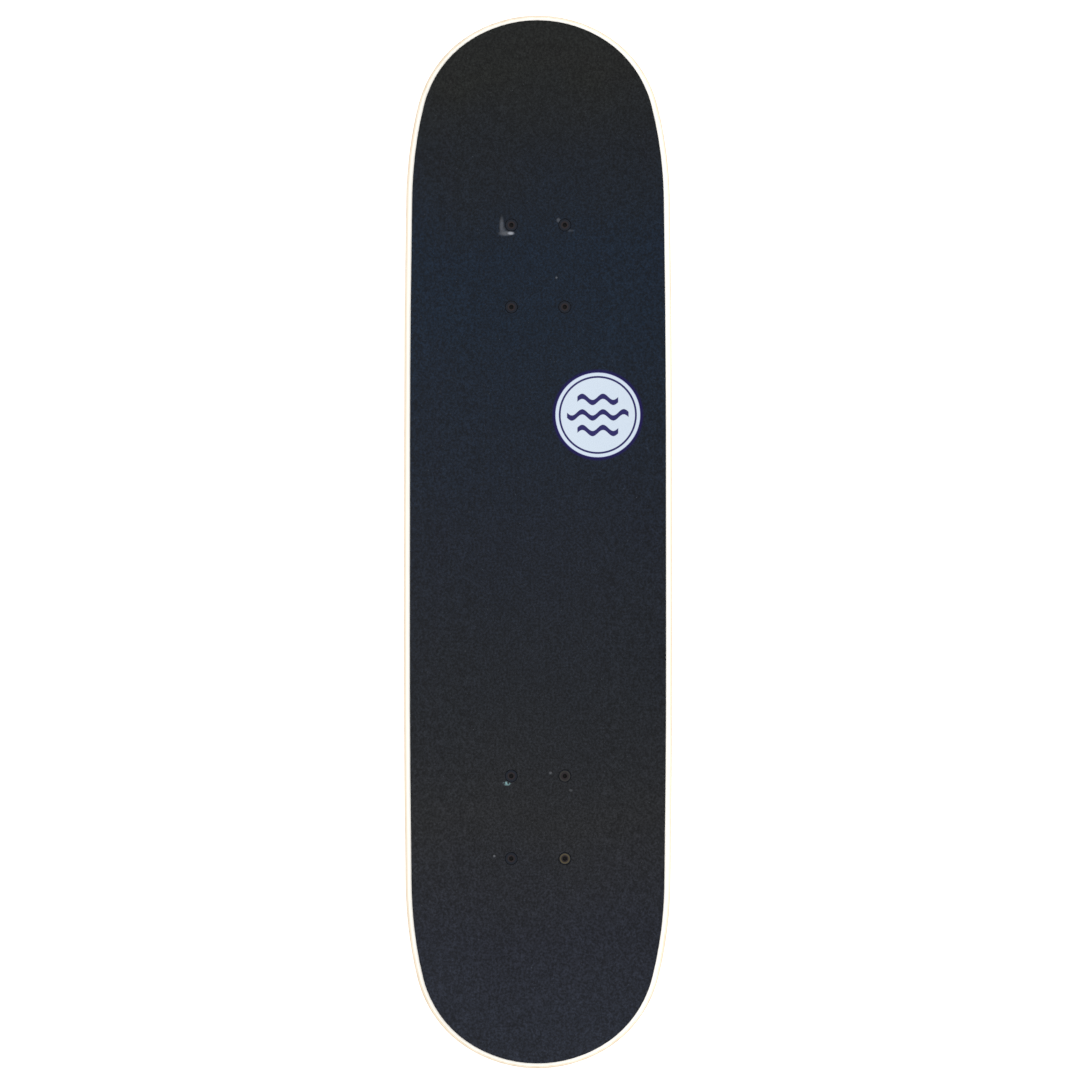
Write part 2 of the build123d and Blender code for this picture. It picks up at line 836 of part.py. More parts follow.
# ---------------------------------------------------------------- truck, rear
truck_front = {
    "baseplate": baseplate_front,
    "pivot_cup": pivot_cup_front,
    "kingpin": kingpin_front,
    "kingpin_nut": kingpin_nut_front,
    "washer_bottom": washer_bottom_front,
    "washer_top": washer_top_front,
    "bushing_bottom": bushing_bottom_front,
    "bushing_top": bushing_top_front,
    "hanger": hanger_front,
    "axle": axle_front,
    "axle_nuts": axle_nuts_front,
    "speed_washers": speed_washers_front,
    "bearing_spacers": bearing_spacers_front,
    "inner_races": inner_races_front,
}
truck_rear = {}
for name, piece in truck_front.items():
    with BuildPart() as copy:
        mirror(piece.part, about=Plane.YZ)
    copy.part.label = name + "_rear"
    truck_rear[name] = copy

# ---------------------------------------------------------------- files
for name, ply in plies.items():
    export_step(ply.part, "parts/ply_" + name + ".step")
export_step(griptape.part, "parts/griptape.step")
export_step(badge.part, "parts/badge.step")
export_step(mounting_bolts.part, "parts/mounting_bolts.step")
export_step(mounting_nuts.part, "parts/mounting_nuts.step")
for name, piece in truck_front.items():
    export_step(piece.part, "parts/" + name + "_front.step")
for name, piece in truck_rear.items():
    export_step(piece.part, "parts/" + name + "_rear.step")
for corner in corners:
    export_step(wheels[corner].part, "parts/wheel_" + corner + ".step")
    export_step(outer_races[corner].part, "parts/outer_races_" + corner + ".step")
    export_step(balls[corner].part, "parts/balls_" + corner + ".step")
    export_step(cages[corner].part, "parts/cages_" + corner + ".step")
    export_step(seals[corner].part, "parts/shields_" + corner + ".step")
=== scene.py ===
"""A complete street skateboard: looks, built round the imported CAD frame.

Everything is in metres in the CAD's own frame: +X is the nose, +Y the rider's left and +Z up,
with the origin on the floor under the middle of the board.
"""

import json
import math

import bmesh
import bpy
from mathutils import Matrix, Vector


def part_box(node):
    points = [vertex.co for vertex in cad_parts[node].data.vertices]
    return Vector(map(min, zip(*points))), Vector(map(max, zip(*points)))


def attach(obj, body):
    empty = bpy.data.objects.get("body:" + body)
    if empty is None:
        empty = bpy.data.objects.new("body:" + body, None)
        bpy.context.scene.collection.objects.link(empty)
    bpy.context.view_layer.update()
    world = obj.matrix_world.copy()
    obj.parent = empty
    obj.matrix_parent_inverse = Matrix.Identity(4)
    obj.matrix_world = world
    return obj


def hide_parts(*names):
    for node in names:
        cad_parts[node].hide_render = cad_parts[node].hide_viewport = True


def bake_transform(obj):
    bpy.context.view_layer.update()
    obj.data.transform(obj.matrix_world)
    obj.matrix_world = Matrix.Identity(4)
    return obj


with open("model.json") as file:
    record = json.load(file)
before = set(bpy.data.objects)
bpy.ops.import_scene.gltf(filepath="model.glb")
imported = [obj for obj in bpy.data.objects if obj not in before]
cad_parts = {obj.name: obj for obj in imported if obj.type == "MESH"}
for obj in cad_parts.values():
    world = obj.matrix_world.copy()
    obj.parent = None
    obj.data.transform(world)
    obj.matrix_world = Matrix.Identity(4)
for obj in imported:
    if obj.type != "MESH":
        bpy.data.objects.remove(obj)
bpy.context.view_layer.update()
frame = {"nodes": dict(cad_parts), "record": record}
nodes = frame["nodes"]

MM = 0.001
ENDS = {"front": 1, "rear": -1}
SIDES = {"left": 1, "right": -1}


# ------------------------------------------------------------------ shader helpers
class Shader:
    """One node material with a Principled shader, and short calls for its usual nodes."""

    def __init__(self, name, **settings):
        self.material = bpy.data.materials.new(name)
        self.material.use_nodes = True
        self.tree = self.material.node_tree
        self.shader = self.tree.nodes["Principled BSDF"]
        self.place = self.tree.nodes.new("ShaderNodeTexCoord").outputs["Object"]
        for socket, value in settings.items():
            self.set(socket.replace("_", " "), value)

    def set(self, socket, value):
        """Gives a socket of the Principled shader a number, a colour or a link."""
        target = self.shader.inputs[socket]
        if isinstance(value, bpy.types.NodeSocket):
            self.tree.links.new(value, target)
        elif isinstance(value, (tuple, list)):
            target.default_value = (*value, 1.0) if len(target.default_value) == 4 else value
        else:
            target.default_value = value

    def add(self, kind, inputs=None, **settings):
        """A new node with its inputs given by name or number."""
        made = self.tree.nodes.new(kind)
        for key, value in settings.items():
            setattr(made, key, value)
        for key, value in (inputs or {}).items():
            target = made.inputs[key]
            if isinstance(value, bpy.types.NodeSocket):
                self.tree.links.new(value, target)
            elif isinstance(value, (tuple, list)) and len(value) == 3 and target.type == "RGBA":
                target.default_value = (*value, 1.0)
            else:
                target.default_value = value
        return made

    def mapped(self, scale):
        """The object's coordinates, scaled along each axis."""
        inputs = {"Vector": self.place, "Scale": scale}
        return self.add("ShaderNodeMapping", inputs).outputs["Vector"]

    def noise(self, scale, detail=3.0, roughness=0.55, vector=None, distortion=0.0):
        """Fractal noise from 0 to 1."""
        inputs = {
            "Vector": vector or self.place,
            "Scale": scale,
            "Detail": detail,
            "Roughness": roughness,
            "Distortion": distortion,
        }
        return self.add("ShaderNodeTexNoise", inputs).outputs["Fac"]

    def cells(self, scale):
        """Distance from the nearest of many scattered points."""
        inputs = {"Vector": self.place, "Scale": scale}
        return self.add("ShaderNodeTexVoronoi", inputs).outputs["Distance"]

    def math(self, operation, a, b=0.0):
        """One math node."""
        return self.add("ShaderNodeMath", {0: a, 1: b}, operation=operation).outputs[0]

    def product(self, *values):
        """Values multiplied together."""
        result = values[0]
        for value in values[1:]:
            result = self.math("MULTIPLY", result, value)
        return result

    def most(self, *values):
        """The largest of several values."""
        result = values[0]
        for value in values[1:]:
            result = self.math("MAXIMUM", result, value)
        return result

    def step(self, value, low, high):
        """0 at low, 1 at high, smooth between; low may be above high."""
        inputs = {"Value": value, "From Min": low, "From Max": high, "To Min": 0.0, "To Max": 1.0}
        made = self.add("ShaderNodeMapRange", inputs, interpolation_type="SMOOTHSTEP", clamp=True)
        return made.outputs["Result"]

    def band(self, value, middle, half, soft):
        """1 within half of the middle, falling to 0 over soft."""
        away = self.math("ABSOLUTE", self.math("SUBTRACT", value, middle))
        return self.step(away, half + soft, half)

    def between(self, value, low, high):
        """A 0 to 1 value spread over a new range."""
        inputs = {"Value": value, "From Min": 0.0, "From Max": 1.0, "To Min": low, "To Max": high}
        return self.add("ShaderNodeMapRange", inputs, clamp=True).outputs["Result"]

    def mix(self, share, a, b, blend="MIX"):
        """Two colours mixed."""
        made = self.tree.nodes.new("ShaderNodeMix")
        made.data_type, made.blend_type = "RGBA", blend
        for socket, value in ((made.inputs[0], share), (made.inputs[6], a), (made.inputs[7], b)):
            if isinstance(value, bpy.types.NodeSocket):
                self.tree.links.new(value, socket)
            else:
                socket.default_value = (*value, 1.0) if isinstance(value, tuple) else value
        return made.outputs[2]

    def ramp(self, value, stops):
        """Colours along a value, from (position, colour) stops."""
        made = self.add("ShaderNodeValToRGB", {"Fac": value})
        band = made.color_ramp
        while len(band.elements) < len(stops):
            band.elements.new(0.5)
        for element, (position, colour) in zip(band.elements, stops):
            element.position, element.color = position, (*colour, 1.0)
        return made.outputs["Color"]

    def bump(self, height, strength, distance):
        """Bump of a depth in metres, set as the shader's normal."""
        inputs = {"Height": height, "Strength": strength, "Distance": distance}
        self.set("Normal", self.add("ShaderNodeBump", inputs).outputs["Normal"])

    def axes(self, vector=None):
        """X, Y and Z of a vector."""
        made = self.add("ShaderNodeSeparateXYZ", {"Vector": vector or self.place})
        return made.outputs[0], made.outputs[1], made.outputs[2]

    def vector_math(self, operation, a, b=(0, 0, 0), output=0):
        """One vector math node."""
        return self.add("ShaderNodeVectorMath", {0: a, 1: b}, operation=operation).outputs[output]

    def folded(self):
        """The coordinates with every corner of the board laid over the front left one."""
        return self.vector_math("ABSOLUTE", self.place)

    def reach(self, point, scale=(1, 1, 0), vector=None):
        """Distance from a point, in plan unless a scale for each axis says otherwise."""
        away = self.vector_math("SUBTRACT", vector or self.place, tuple(point))
        return self.vector_math("LENGTH", self.vector_math("MULTIPLY", away, scale), output="Value")


# ------------------------------------------------------------------ places and sizes
def centre_of(node):
    """The middle of a CAD node's box."""
    low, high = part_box(node)
    return (Vector(low) + Vector(high)) / 2


badge_centre = centre_of("badge")
badge_radius = (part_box("badge")[1][0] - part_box("badge")[0][0]) / 2

# deck bolts: their sizes, and the places of one corner in plan, the others being its mirrors
HEAD_RADIUS = 4.75 * MM
BOLT_SPACING = 63.5 * MM
BOLT_RADIUS = 2.4 * MM
bolt_outer_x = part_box("mounting_bolts")[1][0] - HEAD_RADIUS
bolt_inner_x = bolt_outer_x - BOLT_SPACING
bolt_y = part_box("mounting_bolts")[1][1] - HEAD_RADIUS
bolt_end_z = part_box("mounting_bolts")[0][2]

# axles and wheels
axle_x = centre_of("axle_front").x
axle_z = centre_of("axle_front").z
axle_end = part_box("axle_front")[1][1]
wheel_y = centre_of("wheel_front_left").y
AXLE_RADIUS = 3.97 * MM
HANGER_END = 63.0 * MM
AXLE_NUT_TOP = 95.9 * MM
BEARING_OFFSET = 8.65 * MM
HALF_BEARING = 3.5 * MM

# the kingpin line of the front truck: a point on it and its direction towards the nut
KINGPIN_TILT = math.radians(20)
RING_CENTRE = Vector((199.7, 0.0, 43.0)) * MM
KINGPIN_RADIUS = 4.76 * MM
KINGPIN_NUT_TOP = 24.3 * MM
KINGPIN_END = 26.5 * MM
BOTTOM_BUSHING = (-16.0 * MM, -2.5 * MM)
TOP_BUSHING = (2.5 * MM, 13.5 * MM)
BUSHING_RADIUS = 12.3 * MM
BUSHING_BORE = KINGPIN_RADIUS + 0.15 * MM
BARREL_BULGE = 0.665 * MM
CONE_RADIUS = 10.2 * MM

# threads: pitch and height of the ridge
KINGPIN_THREAD = (1.06 * MM, 0.32 * MM)
AXLE_THREAD = (0.6 * MM, 0.2 * MM)
BOLT_THREAD = (0.79 * MM, 0.26 * MM)


def kingpin_line(end):
    """A truck's ring centre and its direction down the kingpin, end being 1 or -1."""
    centre = Vector((end * RING_CENTRE.x, 0, RING_CENTRE.z))
    down = Vector((-end * math.sin(KINGPIN_TILT), 0, -math.cos(KINGPIN_TILT)))
    return centre, down


# ------------------------------------------------------------------ materials
PRINT_NAVY = (0.0060, 0.0030, 0.075)
PRINT_WHITE = (0.51, 0.577, 0.655)
FINE_GRIT, COARSE_GRIT = 2300, 620

# the badge's waves: their length and height, and each row's place up the badge and half length
WAVE_LENGTH = 16.0 * MM
WAVE_HEIGHT = 2.4 * MM
WAVE_ROWS = ((12.0 * MM, 16.0 * MM), (0.0, 24.0 * MM), (-12.0 * MM, 16.0 * MM))

# the hanger's turned end faces, and the print on a wheel's outer face
TURNED_PITCH = 0.32 * MM
WHEEL_TICKS = 24
INNER_RING, OUTER_RING, TICK_CIRCLE = 16.9 * MM, 22.4 * MM, 19.6 * MM


def grip_material():
    """Black grit on a film: fine grain, sparse bright grains partly made of painted glints, cool and
    neutral zones of painted light and shade, scuffs.
    """
    s = Shader("grip", Specular_IOR_Level=0.17)
    grain = s.noise(FINE_GRIT, 4, 0.7)
    coarse = s.noise(COARSE_GRIT, 3, 0.6)
    cloud = s.noise(9, 3, 0.55)
    # painted light and shade: cool and neutral zones of tone from tail to nose, standing in for how
    # the kicks and the flat are lit
    along = s.axes()[0]
    spread = s.math("MULTIPLY", s.math("SUBTRACT", cloud, 0.5), 0.10)
    light_and_shade_zone = s.math("ADD", s.math("ADD", along, 0.4), spread)
    base = s.ramp(
        s.math("MULTIPLY", light_and_shade_zone, 1.25),
        [
            (0.03, (0.0155, 0.0190, 0.0300)),
            (0.13, (0.0143, 0.0167, 0.0260)),
            (0.23, (0.0155, 0.0165, 0.0190)),
            (0.34, (0.0105, 0.0130, 0.0180)),
            (0.50, (0.0080, 0.0118, 0.0212)),
            (0.70, (0.0041, 0.0116, 0.0252)),
            (0.79, (0.0041, 0.0112, 0.0245)),
            (0.87, (0.0073, 0.0106, 0.0165)),
            (0.95, (0.0106, 0.0118, 0.0108)),
        ],
    )
    speckle = s.math("ADD", s.product(grain, 0.75), s.product(coarse, 0.25))
    base = s.mix(s.step(speckle, 0.36, 0.66), s.mix(0.62, base, (0.001, 0.001, 0.001)), base)
    base = s.mix(s.product(s.step(grain, 0.56, 0.74), 0.55), base, (0.030, 0.034, 0.044))
    mottle = s.between(s.step(s.noise(560, 3, 0.65), 0.34, 0.66), 0.50, 1.52)
    blotch = s.between(s.step(s.noise(170, 3, 0.6), 0.34, 0.66), 0.86, 1.14)
    base = s.mix(1.0, base, s.product(mottle, blotch), "MULTIPLY")
    # a navy fringe on the sheet round the badge
    halo = s.step(s.reach(badge_centre), badge_radius + 3.2 * MM, badge_radius + 0.8 * MM)
    base = s.mix(s.product(halo, 0.9), base, (0.0060, 0.0020, 0.060))
    marks, mark_colour = grip_scuffs(s, grain)
    colour = s.mix(marks, base, mark_colour)
    # sparse bright grains, partly pale grit and partly painted glints
    grit = s.cells(1250)
    pale_grit_and_glint = s.product(s.step(s.noise(760, 1, 0.5), 0.735, 0.80), s.step(grit, 0.42, 0.12))
    colour = s.mix(s.product(pale_grit_and_glint, 0.5), colour, (0.20, 0.22, 0.25))
    s.set("Base Color", colour)
    s.set("Roughness", s.between(coarse, 0.6, 0.9))
    s.bump(s.math("ADD", grain, s.product(coarse, 0.6)), 0.55, 0.22 * MM)
    return s.material


def grip_scuffs(s, grain):
    """Where the sheet is scraped: a mask, and the scrapes' colour."""
    broken = s.step(s.noise(520, 3, 0.6), 0.40, 0.62)
    patchy = s.between(grain, 0.35, 1.0)

    def blot(x, y, half_x, half_y, strength, soft=1.0):
        """A soft spot round a point, in mm from it."""
        scale = (1 / (half_x * MM), 1 / (half_y * MM), 0)
        away = s.reach((x, y, 0), scale)
        return s.product(s.step(away, 1.0 + soft * 0.5, 0.45), strength)

    outer, inner = bolt_outer_x, bolt_inner_x
    corner_bar = blot(outer - 0.6 * MM, bolt_y + 7.5 * MM, 5.0, 1.2, 0.12, 1.8)
    corner_foot = blot(outer - 6.4 * MM, bolt_y + 4.6 * MM, 1.4, 3.6, 0.15, 1.8)
    corner_fill = blot(outer - 4.6 * MM, bolt_y + 6.8 * MM, 2.6, 1.7, 0.10, 1.8)
    bright = s.product(blot(outer - 6.4 * MM, bolt_y + 0.6 * MM, 1.0, 2.0, 0.55, 1.6), patchy)
    second = blot(outer + 3.7 * MM, -bolt_y + 4.9 * MM, 1.6, 1.3, 0.10)
    third = blot(outer - 4.4 * MM, -bolt_y - 4.4 * MM, 0.8, 2.6, 0.05)
    specks = [
        blot(outer - 40.8 * MM, -bolt_y + 6.4 * MM, 0.8, 0.8, 0.10),
        blot(-inner + 2.4 * MM, -bolt_y + 11.0 * MM, 1.0, 1.0, 0.09),
        blot(-outer + 2.0 * MM, bolt_y + 13.0 * MM, 0.8, 0.9, 0.13),
        blot(-inner - 11.0 * MM, -bolt_y - 4.6 * MM, 0.9, 1.4, 0.05),
    ]
    teal = s.product(blot(-inner - 5.6 * MM, bolt_y + 3.2 * MM, 1.5, 2.7, 0.42), broken)
    grey = s.product(s.most(corner_bar, corner_foot, corner_fill, second, third), patchy)
    mask = s.most(grey, bright, teal, *specks)
    tint = s.mix(s.step(teal, 0.02, 0.10), (0.62, 0.65, 0.72), (0.40, 0.70, 0.72))
    return mask, tint


def badge_material():
    """A printed disc: pale ground, a thin ring near its edge and three generic waves."""
    s = Shader("badge_print", Roughness=0.62, Specular_IOR_Level=0.3)
    x, y, _ = s.axes(s.vector_math("SUBTRACT", s.place, tuple(badge_centre)))
    right = s.math("MULTIPLY", y, -1.0)
    away = s.reach(badge_centre)
    ring = s.band(away, 0.895 * badge_radius, 0.62 * MM, 0.24 * MM)
    waves = []
    swell = s.math("SINE", s.math("MULTIPLY", right, 2 * math.pi / WAVE_LENGTH))
    for height, half_length in WAVE_ROWS:
        crest = s.math("ADD", s.product(swell, WAVE_HEIGHT), height)
        ends = s.step(s.math("ABSOLUTE", right), half_length, half_length - 0.5 * MM)
        off = s.math("ABSOLUTE", s.math("SUBTRACT", x, crest))
        waves.append(s.product(s.step(off, 2.25 * MM, 1.85 * MM), ends))
    ink = s.most(ring, *waves)
    paper = s.mix(s.between(s.noise(90, 3), 0.0, 0.5), PRINT_WHITE, (0.46, 0.545, 0.645))
    grain = s.noise(FINE_GRIT, 4, 0.7)
    paper = s.mix(s.product(s.step(grain, 0.60, 0.78), 0.30), paper, (0.42, 0.48, 0.60))
    edge = s.step(away, badge_radius - 0.45 * MM, badge_radius - 0.1 * MM)
    colour = s.mix(ink, paper, s.mix(s.product(grain, 0.3), PRINT_NAVY, (0.015, 0.012, 0.12)))
    s.set("Base Color", s.mix(s.product(edge, 0.75), colour, (0.10, 0.10, 0.30)))
    s.bump(s.math("ADD", grain, s.product(s.noise(COARSE_GRIT, 3), 0.6)), 0.35, 0.12 * MM)
    return s.material


def maple(name, light, dark, across=False, lacquer=0.0, wear=False, bolt_gap_shade_and_tape=False):
    """Rotary-cut maple: fibres, figure and pores, slide marks if worn, and round the bolts a dark
    ring, partly painted shade in the gap and partly the grip's cut edge.
    """
    s = Shader(name, Specular_IOR_Level=0.35, Coat_Weight=lacquer, Coat_Roughness=0.16)
    fine, length = 430, 7
    scale = (fine, length, fine) if across else (length, fine, fine)
    fibre = s.noise(1.0, 5, 0.62, s.mapped(scale), distortion=0.15)
    figure = s.noise(1.0, 3, 0.5, s.mapped(tuple(value / 13 for value in scale)), distortion=0.6)
    rings_in = s.mapped((0.55, 13.0, 3.0))
    rings = s.add(
        "ShaderNodeTexWave",
        {"Vector": rings_in, "Scale": 2.0, "Distortion": 7.0, "Detail": 3.0, "Detail Scale": 1.3},
        bands_direction="Y",
    ).outputs["Fac"]
    pores = s.step(s.noise(1.0, 2, 0.5, s.mapped(tuple(value * 3 for value in scale))), 0.66, 0.75)
    tone = s.math("ADD", s.product(fibre, 0.55), s.product(figure, 0.45))
    tone = s.math("ADD", tone, s.product(s.math("SUBTRACT", rings, 0.5), 0.10))
    colour = s.mix(s.step(tone, 0.30, 0.72), dark, light)
    colour = s.mix(s.product(pores, 0.30), colour, tuple(value * 0.45 for value in dark))
    rough = s.between(fibre, 0.42, 0.62)
    if wear:
        x, y, _ = s.axes()
        slides = s.noise(1.0, 4, 0.7, s.mapped((900, 6, 6)))
        middle = s.step(s.math("ABSOLUTE", x), 0.14, 0.05)
        rails = s.step(s.math("ABSOLUTE", y), 0.045, 0.092)
        scratch = s.product(s.step(slides, 0.60, 0.70), middle, s.between(rails, 0.25, 1.0))
        long_marks = s.noise(1.0, 4, 0.7, s.mapped((5, 700, 700)))
        noses = s.step(s.math("ABSOLUTE", x), 0.33, 0.395)
        scratch = s.most(scratch, s.product(s.step(long_marks, 0.55, 0.64), noses, 0.8))
        colour = s.mix(s.product(scratch, 0.55), colour, (0.60, 0.52, 0.40))
        rough = s.most(rough, s.product(scratch, 0.8))
    if bolt_gap_shade_and_tape:
        # a dark ring round each bolt: painted shade in the gap round the head, with the grip sheet's
        # cut edge
        away = bolt_distance(s)
        colour = s.mix(s.step(away, 6.8 * MM, 6.2 * MM), colour, (0.010, 0.011, 0.014))
    s.set("Base Color", colour)
    s.set("Roughness", rough)
    s.bump(s.math("SUBTRACT", fibre, s.product(pores, 0.8)), 0.28, 0.06 * MM)
    return s.material


def bolt_distance(s):
    """Distance in plan from the nearest deck bolt."""
    folded = s.folded()
    outer = s.reach((bolt_outer_x, bolt_y, 0), vector=folded)
    inner = s.reach((bolt_inner_x, bolt_y, 0), vector=folded)
    return s.math("MINIMUM", outer, inner)


def black_steel():
    """Black oxide screws: sockets darkened with painted shade, faint worn rings, one head worn to a
    tan ring.
    """
    s = Shader("black_steel", Specular_IOR_Level=0.17)
    away = bolt_distance(s)
    grain = s.noise(1500, 4, 0.65)
    base = s.mix(grain, (0.001, 0.003, 0.007), (0.008, 0.011, 0.019))
    socket_ring = s.band(away, 2.15 * MM, 0.35 * MM, 0.7 * MM)
    base = s.mix(s.product(socket_ring, 0.55), base, (0.020, 0.010, 0.008))
    # painted shade: the hex sockets made near black
    base = s.mix(s.step(away, 1.95 * MM, 1.55 * MM), base, (0.0015, 0.0014, 0.0016))
    tan_head = s.reach((-bolt_outer_x, -bolt_y, 0))
    tan = s.band(tan_head, 3.35 * MM, 0.35 * MM, 0.45 * MM)
    other_head = s.reach((-bolt_inner_x, -bolt_y, 0))
    tan = s.most(tan, s.product(s.band(other_head, 3.6 * MM, 0.3 * MM, 0.6 * MM), 0.28))
    base = s.mix(s.product(tan, s.between(grain, 0.45, 1.0)), base, (0.080, 0.063, 0.030))
    s.set("Base Color", base)
    s.set("Roughness", s.between(s.noise(600, 3), 0.42, 0.62))
    s.bump(grain, 0.2, 0.04 * MM)
    return s.material


def cast_metal():
    """Tumbled cast aluminium with a fine skin, and bright turned faces at the hanger's ends."""
    s = Shader("cast_aluminium", Metallic=1.0)
    skin = s.noise(900, 5, 0.65)
    pits = s.cells(1500)
    cloud = s.noise(38, 4, 0.6)
    base = s.mix(s.between(cloud, 0.1, 0.9), (0.34, 0.345, 0.355), (0.47, 0.475, 0.485))
    folded = s.folded()
    y = s.axes(folded)[1]
    away = s.reach((axle_x, 0, axle_z), (1, 0, 1), folded)
    turned = s.step(y, HANGER_END - 1.3 * MM, HANGER_END - 1.0 * MM)
    lines = s.math("SINE", s.math("MULTIPLY", away, 2 * math.pi / TURNED_PITCH))
    base = s.mix(turned, base, (0.66, 0.665, 0.675))
    grime = s.product(s.step(cloud, 0.52, 0.75), s.step(skin, 0.40, 0.65))
    base = s.mix(s.product(grime, 0.35), base, (0.22, 0.22, 0.23))
    s.set("Base Color", base)
    s.set("Roughness", s.mix(turned, s.between(skin, 0.30, 0.52), s.between(lines, 0.16, 0.30)))
    height = s.math("ADD", s.product(skin, 0.8), s.product(s.step(pits, 0.0, 0.35), 0.25))
    height = s.mix(turned, height, s.between(lines, 0.4, 0.6))
    s.bump(height, 0.30, 0.10 * MM)
    return s.material


def zinc_metal():
    """Zinc-plated steel: cool and slightly cloudy."""
    s = Shader("zinc_steel", Metallic=1.0)
    cloud = s.noise(160, 4, 0.6)
    fine = s.noise(2200, 3, 0.6)
    base = s.mix(cloud, (0.36, 0.375, 0.405), (0.56, 0.565, 0.58))
    s.set("Base Color", s.mix(s.step(fine, 0.62, 0.8), base, (0.34, 0.35, 0.36)))
    s.set("Roughness", s.between(cloud, 0.20, 0.42))
    s.bump(fine, 0.15, 0.03 * MM)
    return s.material


def ground_steel(name, tone, roughest, lines_along_y=True):
    """Ground steel with fine lines round its axis."""
    s = Shader(name, Metallic=1.0)
    scale = (60, 4200, 60) if lines_along_y else (900, 900, 900)
    lines = s.noise(1.0, 3, 0.6, s.mapped(scale))
    smear = s.noise(220, 3, 0.6)
    darker = tuple(value * 0.72 for value in tone)
    s.set("Base Color", s.mix(s.between(smear, 0.0, 1.0), darker, tone))
    s.set("Roughness", s.between(lines, 0.10, roughest))
    s.bump(lines, 0.12, 0.02 * MM)
    return s.material


def urethane(name, colour, deep, roughness, subsurface):
    """Cast urethane: slightly cloudy, with a faint mould skin."""
    s = Shader(
        name,
        Subsurface_Weight=subsurface,
        Subsurface_Radius=(0.9, 0.35, 0.2),
        Subsurface_Scale=1.2 * MM,
        Specular_IOR_Level=0.45,
    )
    cloud = s.noise(140, 4, 0.6)
    skin = s.noise(1400, 4, 0.6)
    s.set("Base Color", s.mix(s.step(cloud, 0.3, 0.75), colour, deep))
    s.set("Roughness", s.between(skin, roughness - 0.08, roughness + 0.12))
    s.bump(skin, 0.12, 0.04 * MM)
    return s.material


def wheel_material():
    """Off-white urethane: printed rings and ticks on its outer face, and a used tread."""
    s = Shader(
        "wheel_urethane",
        Subsurface_Weight=0.12,
        Subsurface_Radius=(0.8, 0.6, 0.4),
        Subsurface_Scale=1.5 * MM,
        Specular_IOR_Level=0.45,
    )
    folded = s.folded()
    local = s.vector_math("SUBTRACT", folded, (axle_x, wheel_y, axle_z))
    x, y, z = s.axes(local)
    away = s.vector_math("LENGTH", s.vector_math("MULTIPLY", local, (1, 0, 1)), output="Value")
    angle = s.math("ARCTAN2", z, x)
    cloud = s.noise(60, 4, 0.6)
    skin = s.noise(1100, 4, 0.6)
    colour = s.mix(s.step(cloud, 0.3, 0.7), (0.80, 0.765, 0.66), (0.74, 0.69, 0.56))
    outside = s.step(y, 9.5 * MM, 10.5 * MM)
    rings = s.most(
        s.band(away, INNER_RING, 0.28 * MM, 0.1 * MM),
        s.band(away, OUTER_RING, 0.28 * MM, 0.1 * MM),
    )
    turn = s.math("FRACT", s.math("MULTIPLY", angle, WHEEL_TICKS / (2 * math.pi)))
    ticks = s.product(
        s.band(turn, 0.5, 0.13, 0.02),
        s.band(away, TICK_CIRCLE, 1.15 * MM, 0.1 * MM),
    )
    worn_ink = s.step(s.noise(420, 4, 0.7), 0.68, 0.58)
    ink = s.product(s.most(rings, ticks), outside, worn_ink)
    colour = s.mix(ink, colour, (0.020, 0.016, 0.115))
    tread = s.step(away, 24.6 * MM, 25.9 * MM)
    streaks = s.noise(1.0, 4, 0.65, s.mapped((420, 900, 420)))
    dirt = s.product(tread, s.between(s.step(streaks, 0.30, 0.75), 0.15, 0.55))
    colour = s.mix(dirt, colour, (0.42, 0.39, 0.34))
    s.set("Base Color", colour)
    s.set("Roughness", s.mix(tread, s.between(skin, 0.26, 0.42), s.between(streaks, 0.55, 0.8)))
    height = s.math("ADD", skin, s.product(tread, streaks, 2.0))
    s.bump(height, 0.22, 0.08 * MM)
    return s.material


def moulded(name, colour, roughness):
    """Moulded nylon or rubber: a fine matt skin with faint cloudiness."""
    s = Shader(name, Specular_IOR_Level=0.4)
    cloud = s.noise(180, 3, 0.6)
    skin = s.noise(1300, 4, 0.65)
    darker = tuple(value * 0.70 for value in colour)
    s.set("Base Color", s.mix(s.step(cloud, 0.25, 0.75), darker, colour))
    s.set("Roughness", s.between(skin, roughness - 0.1, roughness + 0.12))
    s.bump(skin, 0.18, 0.05 * MM)
    return s.material


# the top ply's maple is pale wood lightened further as painted light, for its brightly lit rim
PALE_MAPLE, PALE_FIBRE = (0.90, 0.875, 0.82), (0.86, 0.82, 0.75)
CORE_MAPLE, CORE_FIBRE = (0.86, 0.79, 0.67), (0.76, 0.65, 0.49)
CROSS_MAPLE, CROSS_FIBRE = (0.72, 0.56, 0.38), (0.54, 0.37, 0.22)
FACE_MAPLE, FACE_FIBRE = (0.76, 0.58, 0.37), (0.62, 0.42, 0.235)
BUSHING_RED, DEEP_RED = (0.62, 0.035, 0.016), (0.42, 0.015, 0.008)

